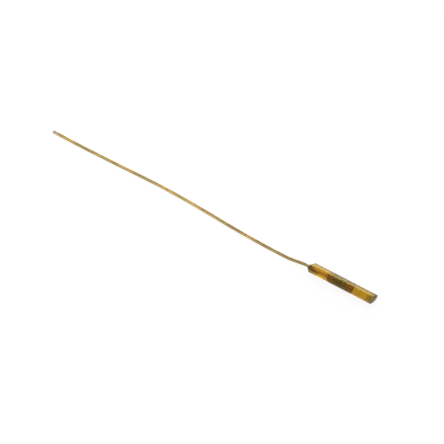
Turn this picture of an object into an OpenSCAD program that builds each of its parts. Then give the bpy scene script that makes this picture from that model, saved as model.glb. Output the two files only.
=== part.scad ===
// Miniature NTC temperature sensor: a thermistor chip soldered between two enamelled wires, dipped in a
// dark coating, and potted with amber epoxy in a thin polyimide tube. All lengths are in millimetres.
// The tube lies along X with the centre of its tip at the origin; the lead, a parallel pair, leaves towards -X.

/* [Tube] */
// Outside diameter of the tube
tube_d = 0.51; // [0.45:0.01:0.8]
// Length of the tube along its axis
tube_l = 3.2; // [2.9:0.1:6]
// Wall thickness of the tube
tube_wall = 0.025; // [0.01:0.005:0.03]
// Angle by which both ends of the tube are cut askew
cut_skew = 16; // [0:1:20]

/* [Epoxy] */
// How far the epoxy domes out of the tube at the tip
dome_h = 0.04; // [0.01:0.005:0.06]
// How far the epoxy bulges out round the wires behind the tube
collar_l = 0.22; // [0.1:0.02:0.4]

/* [Coating] */
// Diameter of the dark coating round the chip
coat_d = 0.38; // [0.34:0.01:0.4]
// Length of the dark coating
coat_l = 1.38; // [1.2:0.02:1.8]
// Distance from the tip of the tube to the front of the coating
coat_inset = 1.02; // [0.3:0.02:1.2]
// Radius that rounds the ends of the coating
coat_round = 0.13; // [0.06:0.01:0.15]

/* [Chip] */
// Side of the square chip
chip_w = 0.2; // [0.14:0.01:0.22]
// Thickness of the ceramic between its electrodes
chip_t = 0.1; // [0.06:0.01:0.12]
// Thickness of each fired electrode
electrode_t = 0.01; // [0.005:0.0025:0.015]
// Coating in front of the chip
chip_cover = 0.16; // [0.1:0.01:0.3]
// Length of each solder joint
solder_l = 0.18; // [0.1:0.01:0.19]

/* [Wires] */
// Diameter of each bare wire
wire_d = 0.063; // [0.05:0.001:0.07]
// Thickness of the enamel on each wire
enamel_t = 0.007; // [0.004:0.001:0.008]
// Length of wire stripped for the solder joint behind the chip
strip_in = 0.14; // [0.08:0.01:0.3]
// Length of wire stripped at the free end
strip_out = 0.22; // [0.1:0.02:1]
// Length over which the wires spread apart to reach the chip
spread_l = 0.5; // [0.4:0.02:0.6]
// Length over which the pair then rolls a quarter turn until it lies flat
roll_l = 2; // [1.8:0.1:3]
// How far the pair bows off the tube's axis behind the coating
bow = 0.045; // [0:0.005:0.06]
// Angle of that bow from straight down, towards -Y
bow_lean = 60; // [0:5:90]

/* [Lead] */
// Length of the lead behind the tube
lead_l = 14.5; // [12:0.5:40]
// Length over which the lead comes down from the tube to the surface
drop_l = 1.4; // [1:0.1:3]
// How far the lead bends out sideways
sway = 0.24; // [0:0.02:1.5]
// Where behind the tube the sideways bend starts
sway_from = 1; // [0:0.1:4]
// Length of the sideways bend
sway_l = 7.7; // [5:0.1:12]
// Height of the gentle waves that handling left in the lead
waver = 0.03; // [0:0.005:0.05]
// Length of one such wave
waver_l = 9.5; // [4:0.1:12]

/* [Hidden] */
$fn = 64;

// Sides of a swept wire, and distance between its rings
wire_sides = 10;
ring_step = 0.18;
// Gap between the two enamelled wires where they lie side by side
pair_gap = 0.004;
// Film of solder between an electrode and its wire
solder_film = 0.004;
// Solder that stands over the wire
solder_cover = 0.012;
// Clear width round the collar and the dome where they leave the tube's bore
collar_clear = 0.012;
// Epoxy left round the wires where the collar ends
collar_rim = 0.014;
// How much the collar's side bulges, where 1 makes a straight cone
collar_bulge = 1.3;
// Share of the dome's width that is flat at its top
tip_flat = 0.1;
// Length that a cutter runs past the face it cuts
past = 0.2;

tube_r = tube_d / 2;
bore_r = tube_r - tube_wall;
coat_r = coat_d / 2;
enamel_r = wire_d / 2 + enamel_t;
pair_r = enamel_r + pair_gap / 2;
lie_z = enamel_r - tube_r;
// How far the askew cut leads or trails the axis at the tube's wall
cut_lead = tube_r * tan(cut_skew);

coat_front = -coat_inset;
coat_back = coat_front - coat_l;
chip_front = coat_front - chip_cover;
chip_mid = chip_front - chip_w / 2;
chip_back = chip_front - chip_w;
// Height of a wire's centre over the chip's middle
perch_z = chip_t / 2 + electrode_t + solder_film + wire_d / 2;
enamel_front = chip_back - strip_in;
spread_from = enamel_front;
roll_from = spread_from - spread_l;
bow_from = coat_back + 0.1;
bow_l = tube_l + bow_from + 2 * collar_l;
lead_end = -tube_l - lead_l;
enamel_back = lead_end + strip_out;

function clamp01(t) = min(1, max(0, t));
function ease(t) = let (u = clamp01(t)) u * u * (3 - 2 * u);
function unit(v) = v / norm(v);

// Middle line of the pair: bowed inside the tube, then down to the surface and off to one side
function behind(x) = max(0, -tube_l - x);
function bow_at(x) = bow * pow(sin(180 * clamp01((bow_from - x) / bow_l)), 2);
function wave_at(x) = waver * ease(behind(x) / drop_l) * sin(360 * (behind(x) - sway_from) / waver_l);
function line_y(x) = sway * ease((behind(x) - sway_from) / sway_l) - wave_at(x) - bow_at(x) * sin(bow_lean);
function line_z(x) = lie_z * ease(behind(x) / drop_l) - bow_at(x) * cos(bow_lean);
function line_at(x) = [x, line_y(x), line_z(x)];

// Each wire's centre: over its face of the chip, then rolling a quarter turn until the pair lies flat
function turn_at(x) = 90 * (1 + ease((roll_from - x) / roll_l));
function apart_at(x) = perch_z + (pair_r - perch_z) * ease((spread_from - x) / spread_l);
function wire_at(x, side) =
    let (a = turn_at(x) + (side > 0 ? 0 : 180), r = apart_at(x))
    line_at(x) + [0, r * cos(a), r * sin(a)];

// Rings stand at even steps from the chip's front, so that every sweep along a wire shares them
function stations(x_from, x_to) =
    let (first = ceil((chip_front - x_from) / ring_step + 0.2), last = floor((chip_front - x_to) / ring_step - 0.2))
    concat([x_from], [for (i = [first:last]) chip_front - i * ring_step], [x_to]);

function ring(x, side, r) =
    let (
        c = wire_at(x, side),
        t = unit(wire_at(x - ring_step / 4, side) - wire_at(x + ring_step / 4, side)),
        n = unit(cross([0, 0, 1], t)),
        b = cross(t, n)
    )
    [for (i = [0:wire_sides - 1]) c + r * (cos(360 * i / wire_sides) * n + sin(360 * i / wire_sides) * b)];

// Solid of radius r swept along one wire between two places on X
module sweep(x_from, x_to, side, r) {
    xs = stations(x_from, x_to);
    last = len(xs) - 1;
    points = [for (x = xs) each ring(x, side, r)];
    sides = [
        for (k = [0:last - 1], i = [0:wire_sides - 1])
            let (j = (i + 1) % wire_sides, p = k * wire_sides, q = p + wire_sides)
            each [[p + i, q + i, p + j], [p + j, q + i, q + j]]
    ];
    front = [for (i = [0:wire_sides - 1]) i];
    back = [for (i = [wire_sides - 1:-1:0]) last * wire_sides + i];
    polyhedron(points, concat([front], sides, [back]), convexity = 10);
}

// Bar of radius r along X between two places
module rod(x_from, x_to, r) {
    translate([min(x_from, x_to), 0, 0])
        rotate([0, 90, 0])
            cylinder(r = r, h = abs(x_to - x_from));
}

// Block that holds the tube's length between its two askew cuts
module between_cuts() {
    reach = 2 * tube_r;
    lean = reach * tan(cut_skew);
    translate([0, 0, -reach])
        linear_extrude(2 * reach)
            polygon([[lean, reach], [-lean, -reach], [-tube_l - lean, -reach], [-tube_l + lean, reach]]);
}

module casing_tube() {
    color([0.80, 0.50, 0.10, 0.5])
        difference() {
            intersection() {
                rod(-tube_l - past, past, tube_r);
                between_cuts();
            }
            rod(-tube_l - past, past, bore_r);
        }
}

// Form turned about X from a profile of [distance along X, radius] points, closed along the axis
module turned(profile) {
    first = profile[0].x;
    last = profile[len(profile) - 1].x;
    rotate([0, 90, 0])
        rotate_extrude()
            polygon([[0, first], for (p = profile) [p.y, p.x], [0, last]]);
}

// Low dome of epoxy that stands square on the askew face of the tip
module tip_dome() {
    foot_r = bore_r - collar_clear;
    steps = 6;
    rotate([0, 0, -cut_skew])
        turned([
            [-dome_h, foot_r],
            for (i = [0:steps - 1]) [dome_h * sin(90 * i / steps), foot_r * cos(90 * i / steps)],
            [dome_h, foot_r * tip_flat]
        ]);
}

// Collar of epoxy that bulges out of the bore and rounds off to the wires
module wire_collar() {
    foot = -tube_l + cut_lead;
    reach = collar_l + cut_lead;
    foot_r = bore_r - collar_clear;
    rim_r = pair_r + enamel_r + collar_rim;
    steps = 8;
    turned([
        for (i = [0:steps])
            [foot - reach * i / steps, rim_r + (foot_r - rim_r) * (1 - pow(i / steps, collar_bulge))]
    ]);
}

module epoxy_fill() {
    color([0.78, 0.48, 0.06, 0.6])
        difference() {
            union() {
                intersection() {
                    rod(-tube_l - past, past, bore_r);
                    between_cuts();
                }
                tip_dome();
                wire_collar();
            }
            coating_form();
            for (side = [1, -1])
                sweep(coat_back + past, -tube_l - collar_l - past, side, enamel_r);
        }
}

// Outer form of the dipped coating: a bar with rounded ends
module coating_form() {
    flat_r = coat_r - coat_round;
    translate([coat_back, 0, 0])
        rotate([0, 90, 0])
            rotate_extrude() {
                square([flat_r, coat_l]);
                translate([0, coat_round])
                    square([coat_r, coat_l - 2 * coat_round]);
                for (z = [coat_round, coat_l - coat_round])
                    translate([flat_r, z])
                        intersection() {
                            circle(r = coat_round);
                            translate([-flat_r, -coat_round])
                                square([coat_r, 2 * coat_round]);
                        }
            }
}

module chip_coating() {
    color([0.24, 0.15, 0.05])
        difference() {
            coating_form();
            chip_block(chip_t + 2 * electrode_t);
            for (side = [1, -1]) {
                solder_form(side);
                sweep(chip_front, enamel_front - ring_step, side, wire_d / 2);
                sweep(enamel_front, coat_back - past, side, enamel_r);
            }
        }
}

// Square block centred on the chip, with the given height
module chip_block(h) {
    translate([chip_back, -chip_w / 2, -h / 2])
        cube([chip_w, chip_w, h]);
}

module ntc_chip() {
    color([0.20, 0.20, 0.22])
        chip_block(chip_t);
}

// Puts what is made over the chip on the chosen side of it
module on_side(side) {
    if (side > 0)
        children();
    else
        mirror([0, 0, 1])
            children();
}

module electrode(side) {
    color([0.78, 0.78, 0.80])
        on_side(side)
            translate([chip_back, -chip_w / 2, chip_t / 2])
                cube([chip_w, chip_w, electrode_t]);
}

// Outer form of a solder joint: a fillet swelling round the wire, cut off flat at its electrode
module solder_form(side) {
    rim_r = wire_d / 2 + solder_film;
    mid_r = wire_d / 2 + solder_cover;
    steps = 6;
    on_side(side)
        intersection() {
            translate([chip_mid, 0, perch_z])
                turned([
                    for (i = [-steps:steps])
                        [i / steps * solder_l / 2, rim_r + (mid_r - rim_r) * cos(90 * i / steps)]
                ]);
            translate([chip_back, -chip_w / 2, chip_t / 2 + electrode_t])
                cube([chip_w, chip_w, chip_w]);
        }
}

module solder_joint(side) {
    color([0.66, 0.67, 0.70])
        difference() {
            solder_form(side);
            sweep(chip_front, enamel_front, side, wire_d / 2);
        }
}

module lead_wire(side) {
    color([0.72, 0.70, 0.66])
        sweep(chip_front, lead_end, side, wire_d / 2);
}

module lead_enamel(side) {
    color([0.62, 0.50, 0.30])
        difference() {
            sweep(enamel_front, enamel_back, side, enamel_r);
            sweep(chip_front, lead_end, side, wire_d / 2);
        }
}

casing_tube();
epoxy_fill();
chip_coating();
ntc_chip();
electrode(1);  // electrode_a
electrode(-1);  // electrode_b
solder_joint(1);  // solder_joint_a
solder_joint(-1);  // solder_joint_b
lead_wire(1);  // lead_wire_a
lead_wire(-1);  // lead_wire_b
lead_enamel(1);  // lead_enamel_a
lead_enamel(-1);  // lead_enamel_b
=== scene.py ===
"""Looks of the miniature NTC temperature sensor: amber tube, dark dipped chip and fine paired lead.

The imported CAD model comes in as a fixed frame, and finer pieces are built on it. All lengths are
in metres in that same frame: the tube lies along X with the centre of its tip at the origin, and
the lead leaves towards -X.
"""

import logging
import math
from abc import ABC, abstractmethod
from dataclasses import dataclass
from enum import Enum
from functools import cache

import bmesh
import bpy
import numpy as np
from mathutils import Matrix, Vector


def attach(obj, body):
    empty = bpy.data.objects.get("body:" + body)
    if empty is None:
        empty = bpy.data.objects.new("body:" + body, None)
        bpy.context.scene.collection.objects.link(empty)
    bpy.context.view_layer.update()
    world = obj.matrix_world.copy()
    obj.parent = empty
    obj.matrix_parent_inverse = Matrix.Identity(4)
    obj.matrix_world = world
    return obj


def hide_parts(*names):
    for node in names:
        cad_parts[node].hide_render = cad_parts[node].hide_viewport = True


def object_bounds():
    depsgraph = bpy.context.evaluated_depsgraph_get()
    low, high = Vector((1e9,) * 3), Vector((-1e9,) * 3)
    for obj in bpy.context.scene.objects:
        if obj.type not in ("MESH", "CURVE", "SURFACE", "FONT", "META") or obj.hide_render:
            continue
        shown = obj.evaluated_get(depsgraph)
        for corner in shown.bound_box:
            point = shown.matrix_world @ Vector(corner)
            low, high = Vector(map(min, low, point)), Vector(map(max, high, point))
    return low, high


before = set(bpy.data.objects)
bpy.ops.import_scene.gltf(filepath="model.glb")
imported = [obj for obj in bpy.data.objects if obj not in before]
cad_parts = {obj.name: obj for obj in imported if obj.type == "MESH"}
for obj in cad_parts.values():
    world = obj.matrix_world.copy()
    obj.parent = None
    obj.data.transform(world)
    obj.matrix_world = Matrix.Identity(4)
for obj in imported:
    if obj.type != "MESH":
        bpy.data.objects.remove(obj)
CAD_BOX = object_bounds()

MM = 0.001
UM = 0.000001
BODY = "root"
WHITE = (1.0, 1.0, 1.0)
MIDDLE = 0.5  # of a pattern's values, and of a lamp's width from 0 to 1
TUBE_RADIUS = 0.255 * MM
TUBE_LENGTH = 3.2 * MM
CUT_SKEW = math.radians(16.0)  # how far from square the tube's ends are cut
MOST_BOUNCES = 24  # of light, which crosses many faces on its way through the tube
MOST_CROSSINGS = 48  # of faces that light passes unchanged, such as the bonded ones
LOG = logging.getLogger("ntc_sensor")

Triple = tuple[float, float, float]
Colour = Triple
Curve = tuple[float, float]  # two powers, as swell() takes them
Wave = tuple[float, float, float]  # height, number and phase, as waves() takes them
Ring = list[bmesh.types.BMVert]
Piece = bpy.types.Object
Socket = bpy.types.NodeSocket
Sockets = dict[int | str, "Scalar | Socket | Triple | float"]  # what a node's inputs take


class Scalar:
    """A number that varies over a surface: a node's output that Python's operators work on."""

    def __init__(self, bench: "NodeBench", socket: Socket) -> None:
        """Wraps one output.

        Args:
            bench: The node tree that the output belongs to.
            socket: The output that carries the number.
        """
        self.bench = bench
        self.socket = socket

    def _maths(
        self, operation: str, first: "Scalar | float", second: "Scalar | float"
    ) -> "Scalar":
        """Adds one Math node.

        Args:
            operation: The node's operation.
            first: Its first value.
            second: Its second value.

        Returns:
            The node's result.
        """
        node = self.bench.node("Math", {"operation": operation}, {0: first, 1: second})
        return Scalar(self.bench, node.outputs[0])

    def __add__(self, other: "Scalar | float") -> "Scalar":
        """The sum."""
        return self._maths("ADD", self, other)

    def __radd__(self, other: float) -> "Scalar":
        """The sum, with the plain number first."""
        return self._maths("ADD", other, self)

    def __sub__(self, other: "Scalar | float") -> "Scalar":
        """The difference."""
        return self._maths("SUBTRACT", self, other)

    def __rsub__(self, other: float) -> "Scalar":
        """The difference, with the plain number first."""
        return self._maths("SUBTRACT", other, self)

    def __mul__(self, other: "Scalar | float") -> "Scalar":
        """The product."""
        return self._maths("MULTIPLY", self, other)

    def __rmul__(self, other: float) -> "Scalar":
        """The product, with the plain number first."""
        return self._maths("MULTIPLY", other, self)

    def __abs__(self) -> "Scalar":
        """The number without its sign."""
        return self._maths("ABSOLUTE", self, 0.0)

    def least(self, other: "Scalar | float") -> "Scalar":
        """The lesser of the two."""
        return self._maths("MINIMUM", self, other)


@dataclass(frozen=True)
class Pattern:
    """A soft random pattern that stays fixed to a piece.

    Attributes:
        size: Its grain in metres.
        detail: How many finer layers it has.
        stretch: What each axis is multiplied by; under 1 draws it out along that axis.
    """

    size: float
    detail: float
    stretch: Triple = (1.0, 1.0, 1.0)


class NodeBench:
    """One shader node tree, and the one way in which nodes are added to it."""

    def __init__(self, tree: bpy.types.NodeTree) -> None:
        """Clears the tree.

        Args:
            tree: The node tree of a material, a lamp or a world.
        """
        self.tree = tree
        tree.nodes.clear()

    def node(
        self, kind: str, settings: dict[str, str] | None = None, sockets: Sockets | None = None
    ) -> bpy.types.Node:
        """Adds one node.

        Args:
            kind: The node's type without the word ShaderNode.
            settings: The node's own settings by name, which are set first.
            sockets: What each input holds or is linked to, by its place, name or identifier.

        Returns:
            The new node.
        """
        made = self.tree.nodes.new(f"ShaderNode{kind}")
        for name, value in (settings or {}).items():
            setattr(made, name, value)
        for key, value in (sockets or {}).items():
            socket = self._input(made, key)
            source = value.socket if isinstance(value, Scalar) else value
            if isinstance(source, Socket):
                self.tree.links.new(source, socket)
            elif socket.type == "RGBA":
                socket.default_value = (*source, 1.0)
            else:
                socket.default_value = source
        return made

    @staticmethod
    def _input(made: bpy.types.Node, key: int | str) -> Socket:
        """Finds an input.

        Args:
            made: The node.
            key: The input's place, identifier or name.

        Returns:
            The input socket.
        """
        if isinstance(key, int):
            return made.inputs[key]
        return next((s for s in made.inputs if s.identifier == key), None) or made.inputs[key]

    def place(self) -> Socket:
        """Gives the place on the piece in metres."""
        return self.node("TexCoord").outputs["Object"]

    def split(self, vector: Socket) -> list[Scalar]:
        """Gives the three numbers of a vector."""
        return [Scalar(self, part) for part in self.node("SeparateXYZ", None, {0: vector}).outputs]

    def mottle(self, pattern: Pattern) -> Scalar:
        """Draws a pattern.

        Args:
            pattern: The pattern.

        Returns:
            Its values, which lie evenly round the middle and mostly from 0.3 to 0.7.
        """
        scaling = {0: self.place(), 1: pattern.stretch}
        place = self.node("VectorMath", {"operation": "MULTIPLY"}, scaling).outputs[0]
        drawing = {"Vector": place, "Scale": 1.0 / pattern.size, "Detail": pattern.detail}
        return Scalar(self, self.node("TexNoise", None, drawing).outputs["Fac"])

    def blend(self, mask: Scalar, first: Colour | Socket, second: Colour | Socket) -> Socket:
        """Mixes two colours.

        Args:
            mask: 0 for the first and 1 for the second.
            first: A colour or a colour output.
            second: Another.

        Returns:
            The colour output.
        """
        sockets = {"Factor_Float": mask, "A_Color": first, "B_Color": second}
        mix = self.node("Mix", {"data_type": "RGBA"}, sockets)
        return next(s for s in mix.outputs if s.identifier == "Result_Color")

    def crossfade(self, mask: Scalar, first: Socket, second: Socket) -> Socket:
        """Mixes two shaders.

        Args:
            mask: 0 for the first and 1 for the second.
            first: A shader output.
            second: Another.

        Returns:
            The shader output.
        """
        return self.node("MixShader", None, {0: mask, 1: first, 2: second}).outputs[0]

    def bump(self, height: Scalar, depth: float) -> Socket:
        """Turns a height pattern into a normal.

        Args:
            height: The pattern.
            depth: The height in metres that the pattern's 1 stands for.

        Returns:
            The normal output.
        """
        return self.node("Bump", None, {"Height": height, "Distance": depth}).outputs["Normal"]

    def surface(self, sockets: Sockets) -> Socket:
        """Gives the usual surface shader, with what its inputs hold."""
        return self.node("BsdfPrincipled", None, sockets).outputs["BSDF"]

    def glow(self, kind: str, strength: float) -> Socket:
        """Gives plain white light, from an Emission or a Background node."""
        return self.node(kind, None, {"Color": WHITE, "Strength": strength}).outputs[0]


@dataclass(frozen=True)
class Span:
    """A range of numbers over which a mask rises from 0 to 1, clamped and eased.

    Attributes:
        empty: The number at which the mask is 0.
        full: The number at which it is 1.
    """

    empty: float
    full: float

    def mask(self, value: Scalar) -> Scalar:
        """Turns a number that varies over the surface into a mask.

        Args:
            value: The number.

        Returns:
            The mask.
        """
        sockets = {"Value": value, "From Min": self.empty, "From Max": self.full}
        node = value.bench.node("MapRange", {"interpolation_type": "SMOOTHSTEP"}, sockets)
        return Scalar(value.bench, node.outputs["Result"])


@dataclass(frozen=True)
class Layer(Span):
    """A colour that covers another one as far as its mask is 1.

    Attributes:
        colour: The colour.
    """

    colour: Colour

    def over(self, base: Colour | Socket, mask: Scalar) -> Socket:
        """Lays the colour over another one.

        Args:
            base: The colour underneath.
            mask: How much of this colour shows.

        Returns:
            The colour output.
        """
        return mask.bench.blend(mask, base, self.colour)


@dataclass(frozen=True)
class Finish(ABC):
    """A surface finish.

    Attributes:
        name: The material's name.
    """

    name: str

    @abstractmethod
    def shader(self, bench: NodeBench) -> Socket:
        """Builds the finish.

        Args:
            bench: The empty node tree.

        Returns:
            The shader output.
        """

    @cache
    def material(self) -> bpy.types.Material:
        """Makes the material, once for each finish.

        Returns:
            The material.
        """
        made = bpy.data.materials.new(self.name)
        made.use_nodes = True
        bench = NodeBench(made.node_tree)
        bench.node("OutputMaterial", None, {"Surface": self.shader(bench)})
        return made


@dataclass(frozen=True)
class ClearAmber(Finish):
    """Clear amber polyimide or resin, which light enters and leaves.

    A tint is what light keeps that enters through one such face and leaves through another. The
    tints from warm to the painted shade of the rear end are spread over lengths behind the tip.

    Attributes:
        pale: The tint in front of the chip.
        deep: The tint of the streaks where they are dark.
        warm: The tint behind the chip.
        painted_glow: Painted light: a brighter tint on the underside behind the chip.
        painted_underside_shade: Painted shade: a darker tint on the underside towards the rear end.
        painted_crown_shade: Painted shade: a darker tint along the upper side, before and behind
            the chip.
        painted_front_shade: Painted shade: a darker tint at the front end.
        painted_rear_shade: Painted shade: a duller, darker tint at the rear end.
        painted_crown_shares: How much of the painted crown shade shows before and behind the chip.
        shade_axis: Y and Z of the direction across the tube that is up in the camera's view.
        crown_shade_span: Where the painted shade of the upper side lies in that direction.
        painted_underside_span: Where the painted light and painted shade of the underside lie.
        skew: Angle at which the ends are cut.
        wander: How far the streaks shift the tints along the tube.
        streaks: Streaks drawn out along the tube.
        smudges: Fine smudges.
        smudged: The smudges' values that count as dull.
        gloss: The roughness of the smooth face.
        haze: Roughness that the smudges add.
        residue: Roughness that the residue at the front end adds.
        ripple: Height of the surface's fine ripple.
        ior: How strongly light bends on its way in.
        sheen: The tint of what the face mirrors.
    """

    pale: Colour = (0.45, 0.23, 0.005)
    deep: Layer = Layer(0.4, 0.7, (0.37, 0.17, 0.003))
    warm: Layer = Layer(2.00 * MM, 2.40 * MM, (0.46, 0.22, 0.009))
    painted_glow: Layer = Layer(2.35 * MM, 2.55 * MM, (0.70, 0.37, 0.012))
    painted_underside_shade: Layer = Layer(2.60 * MM, 3.00 * MM, (0.16, 0.068, 0.003))
    painted_crown_shade: Layer = Layer(1.30 * MM, 0.90 * MM, (0.17, 0.095, 0.004))
    painted_front_shade: Layer = Layer(0.32 * MM, 0.10 * MM, (0.12, 0.07, 0.005))
    painted_rear_shade: Layer = Layer(2.95 * MM, 3.30 * MM, (0.38, 0.26, 0.045))
    painted_crown_shares: tuple[float, float] = (0.7, 0.4)
    shade_axis: tuple[float, float] = (0.86, 0.51)
    crown_shade_span: Span = Span(0.04 * MM, 0.15 * MM)
    painted_underside_span: Span = Span(0.06 * MM, -0.08 * MM)
    skew: float = CUT_SKEW
    wander: float = 0.3 * MM
    streaks: Pattern = Pattern(0.9 * MM, 3.0, (1.0, 6.0, 6.0))
    smudges: Pattern = Pattern(0.12 * MM, 1.0, (0.35, 1.0, 1.0))
    smudged: Span = Span(0.45, 0.75)
    gloss: float = 0.03
    haze: float = 0.05
    residue: float = 0.12
    ripple: float = 0.4 * UM
    ior: float = 1.6
    sheen: Colour = (0.96, 0.82, 0.28)

    def shader(self, bench: NodeBench) -> Socket:
        """Builds tinted glass with drawn streaks, painted light and shade, and a faint ripple.

        Args:
            bench: The empty node tree.

        Returns:
            The shader output.
        """
        streaks, smudges = bench.mottle(self.streaks), bench.mottle(self.smudges)
        x, y, z = bench.split(bench.place())
        behind_tip = math.tan(self.skew) * y - x + (streaks - MIDDLE) * self.wander
        # up across the tube as the camera sees it; the painted glow and painted shades follow this
        shade_axis = self.shade_axis[0] * y + self.shade_axis[1] * z
        # mask of the underside, where painted light and painted shade are laid
        underside_glow_and_shade = self.painted_underside_span.mask(shade_axis)
        behind_chip = self.warm.mask(behind_tip)
        front_end = self.painted_front_shade.mask(behind_tip)
        share_before, share_behind = self.painted_crown_shares
        # where along the tube the painted shade of the upper side lies
        crown_shade_reach = share_before * self.painted_crown_shade.mask(behind_tip) + share_behind * behind_chip
        tint = self.pale
        for layer, mask in (
            (self.deep, self.deep.mask(streaks)),
            (self.warm, behind_chip),
            # painted light: a brighter underside behind the chip
            (self.painted_glow, self.painted_glow.mask(behind_tip) * underside_glow_and_shade),
            # painted shade: a darker underside towards the rear end
            (self.painted_underside_shade, self.painted_underside_shade.mask(behind_tip) * underside_glow_and_shade),
            # painted shade: a darker upper side before and behind the chip
            (self.painted_crown_shade, crown_shade_reach * self.crown_shade_span.mask(shade_axis)),
            # painted shade: a darker front end
            (self.painted_front_shade, front_end),
            # painted shade: a duller rear end
            (self.painted_rear_shade, self.painted_rear_shade.mask(behind_tip)),
        ):
            tint = layer.over(tint, mask)
        dull = self.haze * self.smudged.mask(smudges) + self.residue * front_end
        return bench.surface(
            {
                "Base Color": tint,
                "Roughness": self.gloss + dull,
                "IOR": self.ior,
                "Specular Tint": self.sheen,
                "Transmission Weight": 1.0,
                "Normal": bench.bump(smudges, self.ripple),
            }
        )


@dataclass(frozen=True)
class BondedFace(Finish):
    """The face where tube and resin are bonded without a gap, which light crosses unchanged."""

    def shader(self, bench: NodeBench) -> Socket:
        """Builds a face that doesn't show."""
        return bench.node("BsdfTransparent", None, {"Color": WHITE}).outputs["BSDF"]


@dataclass(frozen=True)
class DippedResin(Finish):
    """The dark resin that the chip was dipped in.

    Attributes:
        body: The main colour.
        olive: The colour of the thicker patches.
        ruddy_front: The colour of the thin front end, by places along X.
        ruddy_back: The colour of the thin back end.
        patches: The patches.
        wander: How far they shift the ends' colours along X.
        grain: The resin's fine grain.
        gloss: The roughness of the smooth places.
        haze: Roughness that the grain adds.
        relief: Height of the patches.
        grain_relief: Height of the grain, as a share of theirs.
        mirror: How much the resin mirrors.
    """

    body: Colour = (0.34, 0.28, 0.16)
    olive: Layer = Layer(0.54, 0.40, (0.28, 0.27, 0.14))
    ruddy_front: Layer = Layer(-1.52 * MM, -1.17 * MM, (0.58, 0.33, 0.13))
    ruddy_back: Layer = Layer(-1.95 * MM, -2.25 * MM, (0.58, 0.33, 0.13))
    patches: Pattern = Pattern(0.34 * MM, 3.0)
    wander: float = 0.8 * MM
    grain: Pattern = Pattern(0.03 * MM, 3.0)
    gloss: float = 0.42
    haze: float = 0.2
    relief: float = 8 * UM
    grain_relief: float = 0.25
    mirror: float = 0.2

    def shader(self, bench: NodeBench) -> Socket:
        """Builds the patchy dark resin.

        Args:
            bench: The empty node tree.

        Returns:
            The shader output.
        """
        patches, grain = bench.mottle(self.patches), bench.mottle(self.grain)
        x, _, _ = bench.split(bench.place())
        x = x + (patches - MIDDLE) * self.wander
        colour = self.olive.over(self.body, self.olive.mask(patches))
        for end in (self.ruddy_front, self.ruddy_back):
            colour = end.over(colour, end.mask(x))
        return bench.surface(
            {
                "Base Color": colour,
                "Roughness": self.gloss + self.haze * grain,
                "Specular IOR Level": self.mirror,
                "Normal": bench.bump(patches + self.grain_relief * grain, self.relief),
            }
        )


@dataclass(frozen=True)
class SinteredOxide(Finish):
    """The dark sintered ceramic of the chip.

    Attributes:
        dark: The main colour.
        pale: The colour of the paler grains.
        grains: The grains.
        gloss: The roughness of the smooth places.
        haze: Roughness that the grains add.
        relief: Height of the grains.
    """

    dark: Colour = (0.045, 0.045, 0.05)
    pale: Layer = Layer(0.5, 0.7, (0.09, 0.088, 0.085))
    grains: Pattern = Pattern(0.012 * MM, 4.0)
    gloss: float = 0.75
    haze: float = 0.2
    relief: float = 2 * UM

    def shader(self, bench: NodeBench) -> Socket:
        """Builds matt, fine-grained ceramic.

        Args:
            bench: The empty node tree.

        Returns:
            The shader output.
        """
        grains = bench.mottle(self.grains)
        return bench.surface(
            {
                "Base Color": self.pale.over(self.dark, self.pale.mask(grains)),
                "Roughness": self.gloss + self.haze * grains,
                "Normal": bench.bump(grains, self.relief),
            }
        )


class Metal(Enum):
    """The bare metals of the sensor: main colour, duller colour and roughness."""

    SILVER = ((0.72, 0.71, 0.69), (0.50, 0.49, 0.47), 0.42)
    SOLDER = ((0.50, 0.51, 0.53), (0.34, 0.34, 0.36), 0.30)
    NICKEL = ((0.42, 0.36, 0.24), (0.24, 0.19, 0.11), 0.30)


@dataclass(frozen=True)
class BareMetal(Finish):
    """One of the sensor's bare metals, slightly dulled in patches.

    Attributes:
        metal: Which metal it is.
        grain: Size of the dull patches.
        draw: How much finer the pattern is across the wire than along it.
        fineness: How much finer the scratches are than the patches.
        dulled: The patches' values that count as dull.
        haze: How much the roughness differs between scratches.
        scratch: Depth of the scratches.
    """

    metal: Metal
    grain: float = 0.06 * MM
    draw: float = 1.0
    fineness: float = 6.0
    dulled: Span = Span(0.4, 0.68)
    haze: float = 0.25
    scratch: float = 0.5 * UM

    def shader(self, bench: NodeBench) -> Socket:
        """Builds metal with dull patches and fine scratches.

        Args:
            bench: The empty node tree.

        Returns:
            The shader output.
        """
        bright, dull, gloss = self.metal.value
        drawn = (1.0 / self.draw, 1.0, 1.0)
        patches = bench.mottle(Pattern(self.grain, detail=3.0, stretch=drawn))
        scratches = bench.mottle(Pattern(self.grain / self.fineness, detail=2.0, stretch=drawn))
        return bench.surface(
            {
                "Base Color": bench.blend(self.dulled.mask(patches), bright, dull),
                "Metallic": 1.0,
                "Roughness": gloss + self.haze * (scratches - MIDDLE),
                "Normal": bench.bump(scratches, self.scratch),
            }
        )


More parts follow.
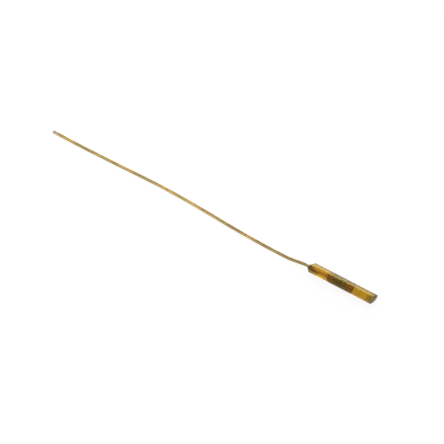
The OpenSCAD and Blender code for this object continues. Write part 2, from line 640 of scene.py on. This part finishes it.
@dataclass(frozen=True)
class WireEnamel(Finish):
    """Clear golden brown enamel over a bright drawn wire.

    Attributes:
        golden: The colour where the enamel is thin.
        brown: The colour where it is thick.
        olive: The colour of its greenish stretches.
        olive_share: How much of the olive shows in them.
        ruddy: The colour inside the tube's rear end.
        bright: The colour farther in, where resin wets the enamel and the metal shines through.
        inside: Where the wire enters the tube, along X.
        near_tube: Where the lead comes up to the tube, along X.
        browning: How much thicker the enamel is there.
        drift: How its thickness drifts.
        stretches: The greenish stretches.
        fine: Its fine unevenness.
        metallic: How much of the look is the metal under thin enamel.
        veil: How much of that thick enamel hides.
        veiled: Where it is thick enough to hide it.
        gloss: The roughness of the smooth places.
        coat: The gloss coat of the smooth places.
        coat_gloss: The roughness of that coat.
        haze: How much the fine unevenness adds to the roughness and to the coat.
        relief: Height of the fine unevenness.
    """

    golden: Colour = (0.50, 0.335, 0.09)
    brown: Layer = Layer(0.36, 0.62, (0.30, 0.185, 0.046))
    olive: Layer = Layer(0.50, 0.62, (0.34, 0.27, 0.062))
    olive_share: float = 0.8
    ruddy: Colour = (0.34, 0.20, 0.10)
    bright: Layer = Layer(-3.25 * MM, -2.45 * MM, (0.72, 0.56, 0.34))
    inside: Span = Span(-3.25 * MM, -3.15 * MM)
    near_tube: Span = Span(-7.15 * MM, -3.25 * MM)
    # browning: How much browner the enamel is made there.
    browning: float = 0.2
    drift: Pattern = Pattern(0.5 * MM, 4.0, (0.5, 2.0, 2.0))
    stretches: Pattern = Pattern(1.1 * MM, 1.0, (1.0, 0.1, 0.1))
    fine: Pattern = Pattern(0.02 * MM, 2.0, (0.3, 1.0, 1.0))
    metallic: float = 0.6
    veil: float = 0.3
    veiled: Span = Span(0.4, 0.6)
    gloss: float = 0.30
    coat: float = 0.10
    coat_gloss: float = 0.12
    haze: float = 0.2
    relief: float = 0.6 * UM

    def shader(self, bench: NodeBench) -> Socket:
        """Builds enamelled wire whose colour drifts along its length.

        Args:
            bench: The empty node tree.

        Returns:
            The shader output.
        """
        drift, fine = bench.mottle(self.drift), bench.mottle(self.fine)
        x, _, _ = bench.split(bench.place())
        inside = self.inside.mask(x)
        # browner towards the tube, on top of the drift
        brownness = drift + self.browning * self.near_tube.mask(x)
        colour = self.brown.over(self.golden, self.brown.mask(brownness))
        greenish = self.olive_share * self.olive.mask(bench.mottle(self.stretches))
        colour = self.olive.over(colour, greenish)
        wetted = self.bright.over(self.ruddy, self.bright.mask(x))
        metallic = self.metallic - self.veil * self.veiled.mask(drift)
        return bench.surface(
            {
                "Base Color": bench.blend(inside, colour, wetted),
                "Metallic": (metallic + inside).least(1.0),
                "Roughness": self.gloss + self.haze * fine,
                "Coat Weight": self.coat + self.haze * fine,
                "Coat Roughness": self.coat_gloss,
                "Normal": bench.bump(fine, self.relief),
            }
        )


@dataclass(frozen=True)
class PaleTable(Finish):
    """The white table that the sensor lies on, which stays white and keeps a soft shadow.

    Attributes:
        colour: The table's colour.
        kept_white: The share of white that no shadow darkens, seen directly, mirrored or through
            the clear pieces.
    """

    colour: Colour = (0.90, 0.90, 0.90)
    kept_white: float = 0.90

    def shader(self, bench: NodeBench) -> Socket:
        """Builds the table's surface.

        Args:
            bench: The empty node tree.

        Returns:
            The shader output.
        """
        path = bench.node("LightPath").outputs
        seen = Scalar(bench, path["Is Camera Ray"]) + Scalar(bench, path["Is Glossy Ray"])
        seen = (seen + Scalar(bench, path["Is Transmission Ray"])).least(1.0)
        matt = bench.node("BsdfDiffuse", None, {"Color": self.colour}).outputs[0]
        return bench.crossfade(seen * self.kept_white, matt, bench.glow("Emission", 1.0))


class Skin:
    """A closed mesh put together from rings of points and the bands between them."""

    def __init__(self, name: str, finishes: list[Finish]) -> None:
        """Starts an empty mesh.

        Args:
            name: The piece's name.
            finishes: The finishes of its faces, the usual one first.
        """
        self.name = name
        self.finishes = finishes
        self.bm = bmesh.new()

    def ring(self, points: np.ndarray) -> Ring:
        """Adds the points of one ring, kept inside the box of the CAD model.

        Args:
            points: An array of (count, 3).

        Returns:
            The ring's vertices.
        """
        low, high = (np.array(corner) for corner in CAD_BOX)
        return [self.bm.verts.new(p) for p in np.clip(points, low, high)]

    def band(
        self, first: Ring, second: Ring, finish: Finish | None = None, smooth: bool = True
    ) -> None:
        """Joins two rings of as many points with quads.

        Args:
            first: One ring.
            second: The next ring.
            finish: The band's finish, if it isn't the usual one.
            smooth: Whether its shading runs on into the next band.
        """
        place = self.finishes.index(finish) if finish else 0
        count = len(first)
        for i in range(count):
            j = (i + 1) % count
            self._face([first[i], second[i], second[j], first[j]], place, smooth)

    def sleeve(self, rings: list[Ring]) -> None:
        """Joins each ring to the next one."""
        for first, second in zip(rings, rings[1:]):
            self.band(first, second)

    def cap(self, ring: Ring, smooth: bool = False) -> None:
        """Closes a ring with triangles round its middle, in the usual finish.

        Args:
            ring: The ring.
            smooth: Whether its shading runs on into the next band.
        """
        middle = self.bm.verts.new(sum((v.co for v in ring), Vector()) / len(ring))
        for i, vert in enumerate(ring):
            self._face([vert, ring[(i + 1) % len(ring)], middle], 0, smooth)

    def _face(self, corners: Ring, place: int, smooth: bool) -> None:
        """Adds one face.

        Args:
            corners: Its vertices in order.
            place: The place of its finish among the piece's.
            smooth: Whether it is shaded smooth.
        """
        face = self.bm.faces.new(corners)
        face.material_index = place
        face.smooth = smooth

    def build(self, slot: str, node: str) -> Piece:
        """Makes the object, and has it stand for its CAD node.

        Args:
            slot: The record's material slot that the piece belongs to; not used.
            node: The CAD node that it replaces.

        Returns:
            The new object.
        """
        bmesh.ops.recalc_face_normals(self.bm, faces=self.bm.faces)
        for edge in self.bm.edges:
            edge.smooth = all(face.smooth for face in edge.link_faces)
        mesh = bpy.data.meshes.new(self.name)
        self.bm.to_mesh(mesh)
        self.bm.free()
        for finish in self.finishes:
            mesh.materials.append(finish.material())
        made = bpy.data.objects.new(self.name, mesh)
        bpy.context.scene.collection.objects.link(made)
        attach(made, BODY)
        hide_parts(node)
        return made


def ease(t: np.ndarray) -> np.ndarray:
    """Gives a smooth step from 0 to 1 as t goes from 0 to 1."""
    u = np.clip(t, 0.0, 1.0)
    return u * u * (3.0 - 2.0 * u)


def circle(count: int) -> np.ndarray:
    """Gives count angles evenly round a circle."""
    return np.arange(count) * (2.0 * math.pi / count)


def waves(angles: np.ndarray, *terms: Wave) -> np.ndarray:
    """Adds up waves round a circle, each given by its height, its number and its phase."""
    return sum(height * np.sin(number * angles + phase) for height, number, phase in terms)


def swell(share: float, curve: Curve) -> float:
    """Gives the height of a rounded end, from 0 at its rim to 1.

    Args:
        share: How far in from the rim, from 0 to 1.
        curve: Two powers: the first flattens the top, and the second rounds the rim.

    Returns:
        The height.
    """
    top, rim = curve
    return (1.0 - (1.0 - share) ** top) ** rim


class SubAssembly(ABC):
    """A part of the sensor that builds its own pieces and dresses them."""

    @abstractmethod
    def build(self) -> list[Piece]:
        """Builds the pieces.

        Returns:
            The finished pieces.
        """


class Side(Enum):
    """The two wires, by the chip's face that each is soldered to: letter and start angle."""

    UPPER = ("a", 0.0)
    LOWER = ("b", math.pi)

    @property
    def letter(self) -> str:
        """The letter that ends the names of this wire's pieces."""
        return self.value[0]

    @property
    def start(self) -> float:
        """The angle by which this wire is turned from the upper one."""
        return self.value[1]


@dataclass(frozen=True)
class PairRoute:
    """Where the two wires run: over and under the chip, bowed behind it, then side by side.

    Attributes:
        tube_length: Length of the tube, behind which the lead starts.
        spread_from: Where the wires leave the chip's faces, along X.
        spread_length: Length over which the wires close up on each other.
        roll_length: Length over which the pair then rolls a quarter turn until it lies flat.
        bow: How far the pair bows off the tube's axis behind the coating.
        bow_lean: Angle of that bow from straight down, towards -Y.
        bow_from: Where the bow starts, along X.
        bow_length: Length of the bow.
        chip_radius: Height of a wire's centre over the chip's middle.
        pair_radius: Distance of a wire's centre from the middle of the pair.
        drop_length: Length over which the lead comes down to the table.
        lie_height: Height of the pair's middle where it lies on the table.
        sway: How far the lead bends sideways.
        sway_from: Where behind the tube that bend starts.
        sway_length: Length of that bend.
        waver: Height of the gentle waves in the lead.
        waver_length: Length of one such wave.
        probe: How far to both sides a wire's direction is measured.
        bond_onset: How late in the closing up the wires bond, as a power.
        bond_width: How narrow the bond between them is, as a power.
    """

    tube_length: float = TUBE_LENGTH
    spread_from: float = -1.52 * MM
    spread_length: float = 0.5 * MM
    roll_length: float = 2.0 * MM
    bow: float = 0.045 * MM
    bow_lean: float = math.radians(60.0)
    bow_from: float = -2.3 * MM
    bow_length: float = 1.34 * MM
    chip_radius: float = 0.0955 * MM
    pair_radius: float = 0.0405 * MM
    drop_length: float = 1.4 * MM
    lie_height: float = -0.2165 * MM
    sway: float = 0.24 * MM
    sway_from: float = 1.0 * MM
    sway_length: float = 7.7 * MM
    waver: float = 0.03 * MM
    waver_length: float = 9.5 * MM
    probe: float = 0.03 * MM
    bond_onset: int = 4
    bond_width: int = 6

    def middle(self, x: np.ndarray) -> np.ndarray:
        """Gives the middle line of the pair.

        Args:
            x: Places along X.

        Returns:
            An array of (count, 3).
        """
        d = np.maximum(0.0, -self.tube_length - x)
        settled = ease(d / self.drop_length)
        through_bow = np.clip((self.bow_from - x) / self.bow_length, 0.0, 1.0)
        bow = self.bow * np.sin(math.pi * through_bow) ** 2
        wave = np.sin(2.0 * math.pi * (d - self.sway_from) / self.waver_length)
        sway = self.sway * ease((d - self.sway_from) / self.sway_length)
        y = sway - self.waver * settled * wave - bow * math.sin(self.bow_lean)
        z = self.lie_height * settled - bow * math.cos(self.bow_lean)
        return np.stack([x, y, z], axis=-1)

    def turn(self, x: np.ndarray) -> np.ndarray:
        """Gives the angle of the upper wire round the middle line.

        Args:
            x: Places along X.

        Returns:
            The angles in radians: a quarter turn for straight up, and a half turn for level.
        """
        roll_from = self.spread_from - self.spread_length
        return math.pi / 2 * (1.0 + ease((roll_from - x) / self.roll_length))

    def closed(self, x: np.ndarray) -> np.ndarray:
        """Gives how far the wires have closed up, from 0 on the chip to 1 side by side."""
        return ease((self.spread_from - x) / self.spread_length)

    def centre(self, x: np.ndarray, side: Side) -> np.ndarray:
        """Gives the centre line of one wire.

        Args:
            x: Places along X.
            side: Which wire.

        Returns:
            An array of (count, 3).
        """
        angle = self.turn(x) + side.start
        radius = self.chip_radius + (self.pair_radius - self.chip_radius) * self.closed(x)
        offset = [np.zeros_like(x), radius * np.cos(angle), radius * np.sin(angle)]
        return self.middle(x) + np.stack(offset, axis=-1)

    def rings(
        self, x: np.ndarray, side: Side, radius: np.ndarray, count: int, bond: float = 0.0
    ) -> np.ndarray:
        """Gives rings of points round one wire, square to its run.

        Args:
            x: Places along X.
            side: Which wire.
            radius: The radius at each place.
            count: How many points each ring has.
            bond: How far each ring reaches out to the other wire, where the two lie together.

        Returns:
            An array of (places, count, 3).
        """
        run = self.centre(x - self.probe, side) - self.centre(x + self.probe, side)
        run /= np.linalg.norm(run, axis=1, keepdims=True)
        across = np.cross([0.0, 0.0, 1.0], run)
        across /= np.linalg.norm(across, axis=1, keepdims=True)
        up = np.cross(run, across)
        angles = circle(count)[None, :]
        facing = np.cos(angles + (self.turn(x) + side.start)[:, None])
        lobe = np.maximum(0.0, facing) ** self.bond_width
        reach = radius[:, None] + bond * self.closed(x)[:, None] ** self.bond_onset * lobe
        cosines, sines = np.cos(angles)[..., None], np.sin(angles)[..., None]
        spokes = cosines * across[:, None, :] + sines * up[:, None, :]
        return self.centre(x, side)[:, None, :] + reach[..., None] * spokes


@dataclass
class CasingTube(SubAssembly):
    """The thin polyimide tube, both ends cut askew.

    Attributes:
        radius: Outside radius.
        wall: Thickness of the wall.
        length: Length along the axis.
        skew: Angle of both cuts.
        bevel: Width of the worn edge at each cut.
        nick: Depth of the small unevenness left by the blade.
        nicks: The waves of that unevenness round each cut.
        sides: Points round the tube.
        wall_finish: Finish of the outside.
        cut_finish: Finish of the cuts and their edges.
        bond_finish: Finish of the bore.
    """

    radius: float = TUBE_RADIUS
    wall: float = 0.025 * MM
    length: float = TUBE_LENGTH
    skew: float = CUT_SKEW
    bevel: float = 0.003 * MM
    nick: float = 1.5 * UM
    nicks: tuple[Wave, ...] = ((0.3, 5, 1.0), (0.2, 13, 2.0))
    sides: int = 128
    wall_finish: Finish = ClearAmber("amber_film")
    cut_finish: Finish = ClearAmber("amber_film_cut", gloss=0.16, haze=0.2, ripple=1.2 * UM)
    bond_finish: Finish = BondedFace("bonded_film")

    @property
    def bore(self) -> float:
        """Radius of the tube's bore."""
        return self.radius - self.wall

    def ring(self, from_tip: float, radius: float, nick: float = 0.0) -> np.ndarray:
        """Gives a ring parallel to the cuts.

        Args:
            from_tip: Distance of its centre behind the tip.
            radius: Its radius.
            nick: Depth of the unevenness, into the tube from the nearer end.

        Returns:
            An array of (sides, 3).
        """
        a = circle(self.sides)
        y, z = radius * np.cos(a), radius * np.sin(a)
        rough = nick * (MIDDLE + waves(a, *self.nicks))
        inward = rough if from_tip < self.length / 2 else -rough
        return np.stack([y * math.tan(self.skew) - from_tip - inward, y, z], axis=-1)

    def build(self) -> list[Piece]:
        """Builds the tube.

        Returns:
            The tube alone.
        """
        skin = Skin("film_tube", [self.wall_finish, self.cut_finish, self.bond_finish])
        wall, cut, bond = skin.finishes
        near, far = 0.0, self.length
        profile = [
            (near + self.bevel, self.radius, wall),
            (far - self.bevel, self.radius, cut),
            (far, self.radius - self.bevel, cut),
            (far, self.bore + self.bevel, cut),
            (far - self.bevel, self.bore, bond),
            (near + self.bevel, self.bore, cut),
            (near, self.bore + self.bevel, cut),
            (near, self.radius - self.bevel, cut),
        ]
        rings = [
            skin.ring(self.ring(from_tip, radius, self.nick if from_tip in (near, far) else 0.0))
            for from_tip, radius, _ in profile
        ]
        for i, (_, _, finish) in enumerate(profile):
            skin.band(rings[i], rings[(i + 1) % len(rings)], finish, smooth=finish is not cut)
        return [skin.build("polyimide", "casing_tube")]


@dataclass
class EpoxyFill(SubAssembly):
    """The clear epoxy in the tube: domed at the tip, and drawn out round the wires behind.

    Attributes:
        tube: The tube that holds it.
        route: The wires that it closes round.
        dome_height: How far it stands out of the tip.
        dome_foot: Radius of the dome's foot.
        dome_curve: How the dome is rounded.
        dome_rings: Rings of the dome.
        collar_length: How far it climbs the wires.
        collar_bulge: How much the collar's side bulges, where 1 makes a straight cone.
        collar_rings: Rings of the collar.
        wire_radius: Outside radius of an enamelled wire.
        skin_left: Epoxy left over the wires where the collar ends.
        skin_more: How much more covers them at the collar's rim.
        face_finish: Finish of dome and collar.
        bond_finish: Finish of the face in the bore.
    """

    tube: CasingTube
    route: PairRoute
    dome_height: float = 0.04 * MM
    dome_foot: float = 0.218 * MM
    dome_curve: Curve = (2.4, 0.75)
    dome_rings: int = 14
    collar_length: float = 0.22 * MM
    collar_bulge: float = 1.3
    collar_rings: int = 16
    wire_radius: float = 0.0385 * MM
    skin_left: float = 0.003 * MM
    skin_more: float = 0.012 * MM
    face_finish: Finish = ClearAmber("amber_resin", gloss=0.04, haze=0.04, ripple=0.5 * UM)
    bond_finish: Finish = BondedFace("bonded_resin")

    def _collar_ring(self, share: float) -> np.ndarray:
        """Gives a ring of the collar, from the bore's rim to a skin round both wires.

        Args:
            share: 0 at the rim and 1 at the collar's end.

        Returns:
            An array of (sides, 3).
        """
        a = circle(self.tube.sides)
        rim_x = self.tube.ring(self.tube.length, self.tube.bore)[:, 0]
        end_x = -self.tube.length - self.collar_length
        x = rim_x + (end_x - rim_x) * share
        inward = share**self.collar_bulge
        hug = self.wire_radius + self.skin_left + self.skin_more * (1.0 - share)
        apart = self.route.pair_radius
        off = a - self.route.turn(x)
        round_pair = apart * np.abs(np.cos(off)) + np.sqrt(hug**2 - (apart * np.sin(off)) ** 2)
        radius = self.tube.bore + (round_pair - self.tube.bore) * inward
        shift = self.route.middle(x) * [0.0, inward, inward]
        return np.stack([x, radius * np.cos(a), radius * np.sin(a)], axis=-1) + shift

    def build(self) -> list[Piece]:
        """Builds the fill.

        Returns:
            The fill alone.
        """
        skin = Skin("resin_fill", [self.face_finish, self.bond_finish])
        lean = np.array([math.cos(self.tube.skew), -math.sin(self.tube.skew), 0.0])
        dome = [skin.ring(self.tube.ring(0.0, self.tube.bore))]
        for i in range(self.dome_rings):
            share = i / self.dome_rings
            proud = self.dome_height * swell(share, self.dome_curve)
            foot = self.tube.ring(0.0, self.dome_foot * (1.0 - share))
            dome.append(skin.ring(foot + proud * lean))
        skin.sleeve(dome)
        skin.cap(dome[-1], smooth=True)
        shares = [i / self.collar_rings for i in range(self.collar_rings + 1)]
        collar = [skin.ring(self._collar_ring(share)) for share in shares]
        skin.sleeve(collar)
        skin.cap(collar[-1])
        skin.band(dome[0], collar[0], self.bond_finish, smooth=False)
        return [skin.build("epoxy", "epoxy_fill")]


@dataclass
class ChipCoating(SubAssembly):
    """The dark resin over the chip and its joints: blunt in front and drawn out behind.

    Attributes:
        front: Where it starts, along X.
        back: Where it ends.
        radius: Its greatest radius.
        blunt: Length over which its front rounds off.
        blunt_curve: How the front is rounded.
        drawn: Length over which its back tapers to the wires.
        drawn_curve: How the back is rounded.
        lump: Height of its lumps.
        lumps: The lumps' waves round it, with how far each phase moves on in a millimetre.
        sunk: How far the lumps are sunk, as a share of their height.
        sides: Points round it.
        rings: Rings along it, which crowd towards both ends.
        open_end: How much of the half turn that spaces the rings is left over at each end.
        finish: Its finish.
    """

    front: float = -1.02 * MM
    back: float = -2.40 * MM
    radius: float = 0.186 * MM
    blunt: float = 0.13 * MM
    blunt_curve: Curve = (2.4, 0.45)
    drawn: float = 0.30 * MM
    drawn_curve: Curve = (2.0, 0.5)
    lump: float = 0.005 * MM
    lumps: tuple[Wave, ...] = ((1.0, 1, 3.1), (0.6, -2, 7.3))
    sunk: float = 0.5
    sides: int = 72
    rings: int = 60
    open_end: float = 0.06
    finish: Finish = DippedResin("dipped_resin")

    def _radius_at(self, x: float, angle: np.ndarray) -> np.ndarray:
        """Gives the coating's radius.

        Args:
            x: A place along X.
            angle: Angles round the axis.

        Returns:
            The radius at each angle.
        """
        nose = swell(min(1.0, (self.front - x) / self.blunt), self.blunt_curve)
        tail = swell(min(1.0, (x - self.back) / self.drawn), self.drawn_curve)
        here = [(height, number, phase * x / MM) for height, number, phase in self.lumps]
        return nose * tail * (self.radius + self.lump * (waves(angle, *here) - self.sunk))

    def build(self) -> list[Piece]:
        """Builds the coating.

        Returns:
            The coating alone.
        """
        skin = Skin("dipped_chip", [self.finish])
        a = circle(self.sides)
        spacing = np.linspace(self.open_end, math.pi - self.open_end, self.rings)
        rings = []
        for place in (1.0 - np.cos(spacing)) / 2:
            x = self.front + (self.back - self.front) * place
            r = self._radius_at(x, a)
            points = [np.full_like(r, x), r * np.cos(a), r * np.sin(a)]
            rings.append(skin.ring(np.stack(points, axis=-1)))
        skin.sleeve(rings)
        skin.cap(rings[0], smooth=True)
        skin.cap(rings[-1], smooth=True)
        return [skin.build("coating", "chip_coating")]


@dataclass
class LeadWire(SubAssembly):
    """One nickel wire of the lead, from the chip to its bare end, with its enamel.

    Attributes:
        route: Where the pair runs.
        side: Which wire it is.
        radius: Radius of the bare wire.
        edge: Width of the rounded edge where it was cut.
        enamel: Thickness of the enamel.
        front: Where the wire starts at the chip, along X.
        enamel_front: Where its enamel starts.
        end: Where the wire ends.
        strip: Length that is stripped at the free end.
        ragged: How far the rims of the enamel stray along X, as stripping leaves them.
        bond: Enamel that reaches out to the other wire, where the two are bonded side by side.
        sides: Points round the wire.
        ring_step: Distance between its rings.
        metal_finish: Finish of the wire.
        enamel_finish: Finish of the enamel.
    """

    route: PairRoute
    side: Side
    radius: float = 0.0315 * MM
    edge: float = 0.004 * MM
    enamel: float = 0.007 * MM
    front: float = -1.18 * MM
    enamel_front: float = -1.52 * MM
    end: float = -17.7 * MM
    strip: float = 0.22 * MM
    ragged: float = 0.006 * MM
    bond: float = 0.0019 * MM
    sides: int = 28
    ring_step: float = 0.05 * MM
    metal_finish: Finish = BareMetal("drawn_nickel", Metal.NICKEL, draw=8.0)
    enamel_finish: Finish = WireEnamel("golden_enamel")

    def _stations(self, first: float, last: float) -> np.ndarray:
        """Gives even places for rings from one place along X to another."""
        return np.linspace(first, last, math.ceil((first - last) / self.ring_step) + 1)

    def build(self) -> list[Piece]:
        """Builds the wire and its enamel.

        Returns:
            The two pieces.
        """
        return [self._metal(), self._enamel()]

    def _metal(self) -> Piece:
        """Builds the bare wire, whose edges are rounded where it was cut.

        Returns:
            The piece.
        """
        skin = Skin(f"nickel_wire_{self.side.letter}", [self.metal_finish])
        run = self._stations(self.front - self.edge, self.end + self.edge)
        x = np.concatenate([[self.front], run, [self.end]])
        radius = np.full_like(x, self.radius)
        radius[[0, -1]] -= self.edge
        rings = [skin.ring(ring) for ring in self.route.rings(x, self.side, radius, self.sides)]
        skin.sleeve(rings)
        skin.cap(rings[0])
        skin.cap(rings[-1])
        return skin.build("wire_nickel", f"lead_wire_{self.side.letter}")

    def _enamel(self) -> Piece:
        """Builds the enamel as a sleeve with ragged ends.

        Returns:
            The piece.
        """
        skin = Skin(f"enamel_{self.side.letter}", [self.enamel_finish])
        x = self._stations(self.enamel_front, self.end + self.strip)
        walls = []
        for radius, bond in ((self.radius + self.enamel, self.bond), (self.radius, 0.0)):
            points = self.route.rings(x, self.side, np.full_like(x, radius), self.sides, bond)
            points[[0, -1], :, 0] += self._stray(radius)
            walls.append([skin.ring(ring) for ring in points])
        outer, inner = walls
        skin.sleeve(outer)
        skin.sleeve(inner)
        for end in (0, -1):
            skin.band(outer[end], inner[end], smooth=False)
        return skin.build("wire_enamel", f"lead_enamel_{self.side.letter}")

    def _stray(self, radius: float) -> np.ndarray:
        """Gives how far each point of an end ring of that radius strays along X."""
        rim = waves(circle(self.sides), (1.0, 3, self.side.start), (0.7, 7, radius / UM))
        return self.ragged * rim


@dataclass
class ChipStack(SubAssembly):
    """The pieces inside the coating, which stay as the CAD has them: chip, electrodes and solder.

    Attributes:
        ceramic: Finish of the chip.
        silver: Finish of the electrodes.
        solder: Finish of the solder joints.
    """

    ceramic: Finish = SinteredOxide("sintered_oxide")
    silver: Finish = BareMetal("fired_silver", Metal.SILVER, grain=0.02 * MM)
    solder: Finish = BareMetal("dull_solder", Metal.SOLDER, grain=0.05 * MM)

    def build(self) -> list[Piece]:
        """Gives each CAD node its finish.

        Returns:
            The CAD model's own objects.
        """
        finishes = {"ntc_chip": self.ceramic}
        for side in Side:
            finishes[f"electrode_{side.letter}"] = self.silver
            finishes[f"solder_joint_{side.letter}"] = self.solder
        pieces = [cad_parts[name] for name in finishes]
        for piece, finish in zip(pieces, finishes.values()):
            piece.data.materials.clear()
            piece.data.materials.append(finish.material())
        return pieces


@dataclass(frozen=True)
class Studio:
    """The white table, the softbox over and behind the sensor, and the plain pale room.

    Attributes:
        table_height: Height of the table's top, which the tube rests on.
        table_size: Width of the table.
        ceiling: Strength of the light from the ceiling, where the walls have 1.
        wall_top: How high the walls' light gives way to the ceiling's.
        softbox_towards: Where the softbox hangs, as a direction from the sensor.
        softbox_distance: How far away it hangs.
        softbox_size: Its width and height.
        softbox_power: Its power in watts.
        softbox_fade: How much of its width and height the light fades over at each edge.
    """

    table_height: float = -TUBE_RADIUS
    table_size: float = 3.0
    ceiling: float = 0.8
    wall_top: Span = Span(0.16, 0.06)
    softbox_towards: Triple = (-0.30, 0.66, 0.68)
    softbox_distance: float = 0.30
    softbox_size: tuple[float, float] = (0.14, 0.50)
    softbox_power: float = 1.0
    softbox_fade: float = 0.20

    def build(self) -> None:
        """Sets up table, softbox and room."""
        self._table()
        self._softbox()
        self._room()

    def _table(self) -> None:
        """Lays the table under the sensor."""
        bm = bmesh.new()
        bmesh.ops.create_grid(bm, x_segments=1, y_segments=1, size=self.table_size / 2)
        mesh = bpy.data.meshes.new("table")
        bm.to_mesh(mesh)
        bm.free()
        mesh.materials.append(PaleTable("pale_table").material())
        table = bpy.data.objects.new("table", mesh)
        table.location.z = self.table_height
        bpy.context.scene.collection.objects.link(table)

    def _softbox(self) -> None:
        """Hangs the softbox, turned towards the sensor, with its light fading at the edges."""
        lamp = bpy.data.lights.new("softbox", "AREA")
        lamp.shape = "RECTANGLE"
        lamp.size, lamp.size_y = self.softbox_size
        lamp.energy = self.softbox_power
        lamp.use_nodes = True
        bench = NodeBench(lamp.node_tree)
        across, along, _ = bench.split(bench.node("NewGeometry").outputs["Parametric"])
        edge = Span(MIDDLE, MIDDLE - self.softbox_fade)
        inner = edge.mask(abs(across - MIDDLE)) * edge.mask(abs(along - MIDDLE))
        light = bench.crossfade(inner, bench.glow("Emission", 0.0), bench.glow("Emission", 1.0))
        bench.node("OutputLight", None, {"Surface": light})
        box = bpy.data.objects.new("softbox", lamp)
        towards = Vector(self.softbox_towards).normalized()
        box.location = towards * self.softbox_distance
        box.rotation_mode = "QUATERNION"
        box.rotation_quaternion = towards.to_track_quat("Z", "Y")
        bpy.context.scene.collection.objects.link(box)

    def _room(self) -> None:
        """Fills the room with soft light, from white walls and a ceiling a little dimmer."""
        world = bpy.data.worlds.new("room")
        bpy.context.scene.world = world
        world.use_nodes = True
        bench = NodeBench(world.node_tree)
        _, _, height = bench.split(bench.node("TexCoord").outputs["Generated"])
        ceiling, walls = bench.glow("Background", self.ceiling), bench.glow("Background", 1.0)
        light = bench.crossfade(self.wall_top.mask(height), ceiling, walls)
        bench.node("OutputWorld", None, {"Surface": light})


@dataclass(frozen=True)
class PhotoCamera:
    """The camera, at the photo's own viewpoint.

    Attributes:
        azimuth: Angle round the sensor in degrees, 0 looking along +Y.
        elevation: Angle above the table in degrees.
        distance: Distance from the aim to the lens.
        aim: The point at the middle of the picture.
        lens: Focal length in millimetres.
        sensor_width: Width of its film in millimetres.
        clip: The nearest and the farthest distance that it sees.
    """

    azimuth: float = 32.32
    elevation: float = 55.0
    distance: float = 100.37 * MM
    aim: Triple = (-7.435 * MM, -0.995 * MM, 1.595 * MM)
    lens: float = 180.0
    sensor_width: float = 36.0
    clip: tuple[float, float] = (0.001, 10.0)

    def build(self) -> None:
        """Sets the camera up and makes it the scene's."""
        a, e = math.radians(self.azimuth), math.radians(self.elevation)
        back = Vector((math.sin(a) * math.cos(e), -math.cos(a) * math.cos(e), math.sin(e)))
        data = bpy.data.cameras.new("camera")
        data.lens, data.sensor_width = self.lens, self.sensor_width
        data.clip_start, data.clip_end = self.clip
        camera = bpy.data.objects.new("camera", data)
        camera.rotation_mode = "QUATERNION"
        camera.rotation_quaternion = (-back).to_track_quat("-Z", "Y")
        camera.location = Vector(self.aim) + back * self.distance
        bpy.context.scene.collection.objects.link(camera)
        bpy.context.scene.camera = camera


def main() -> None:
    """Builds the sensor and its studio in order, and reports each piece of the sensor."""
    logging.basicConfig(level=logging.INFO, format="%(name)s: %(message)s")
    scene = bpy.context.scene
    scene.view_settings.view_transform = "Standard"
    scene.cycles.transparent_max_bounces = MOST_CROSSINGS
    scene.cycles.transmission_bounces = MOST_BOUNCES
    scene.cycles.max_bounces = MOST_BOUNCES
    PhotoCamera().build()
    route, tube = PairRoute(), CasingTube()
    wires = [LeadWire(route, side) for side in Side]
    for part in (tube, EpoxyFill(tube, route), ChipCoating(), *wires, ChipStack()):
        for piece in part.build():
            faces = len(piece.data.polygons)
            LOG.info("%s of %s: %d faces", piece.name, type(part).__name__, faces)
    Studio().build()


if __name__ == "__main__":
    main()
